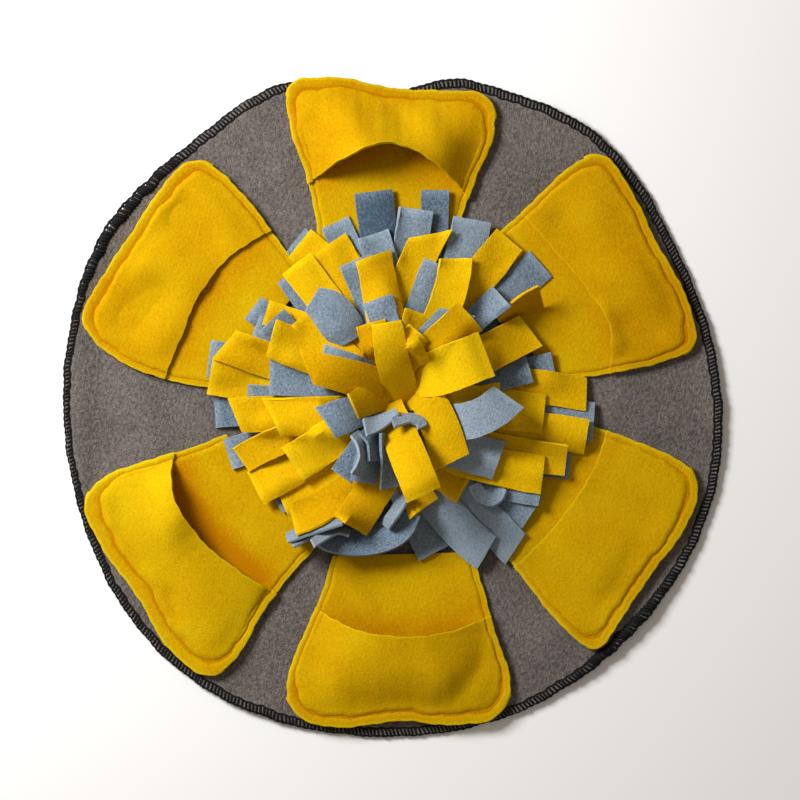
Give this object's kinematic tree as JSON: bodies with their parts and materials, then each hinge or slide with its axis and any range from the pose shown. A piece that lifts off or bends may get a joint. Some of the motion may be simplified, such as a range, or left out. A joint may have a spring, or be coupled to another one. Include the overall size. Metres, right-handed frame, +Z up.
{
  "type": "snuffle mat",
  "caption": "Round fleece snuffle mat: open petal pockets round a mop of square-cut fleece strips, in which dry treats are hidden for a pet to sniff out",
  "frame": {"origin": "middle of the base on the surface that the mat lies on", "axes": "+X to the right and +Y away as seen from above, +Z up out of the mat's face"},
  "size_m": [0.4506, 0.4497, 0.0636],
  "materials": {
    "grey_fleece": "brushed short-pile fleece, matt",
    "yellow_fleece": "brushed short-pile fleece, matt",
    "strip_fleece": "yellow and grey-blue fleece strips, matt",
    "blue_fleece": "brushed short-pile fleece, matt",
    "overlock_thread": "black woolly overlock thread, matt"
  },
  "bodies": {
    "root": {"base": "grey_fleece", "pocket_back_top": "yellow_fleece", "pocket_back_upper_left": "yellow_fleece", "pocket_back_lower_left": "yellow_fleece", "pocket_back_bottom": "yellow_fleece", "pocket_back_lower_right": "yellow_fleece", "pocket_back_upper_right": "yellow_fleece", "pocket_flap_top": "yellow_fleece", "pocket_flap_upper_left": "yellow_fleece", "pocket_flap_lower_left": "yellow_fleece", "pocket_flap_bottom": "yellow_fleece", "pocket_flap_lower_right": "yellow_fleece", "pocket_flap_upper_right": "yellow_fleece", "tuft": "strip_fleece"}
  },
  "joints": []
}
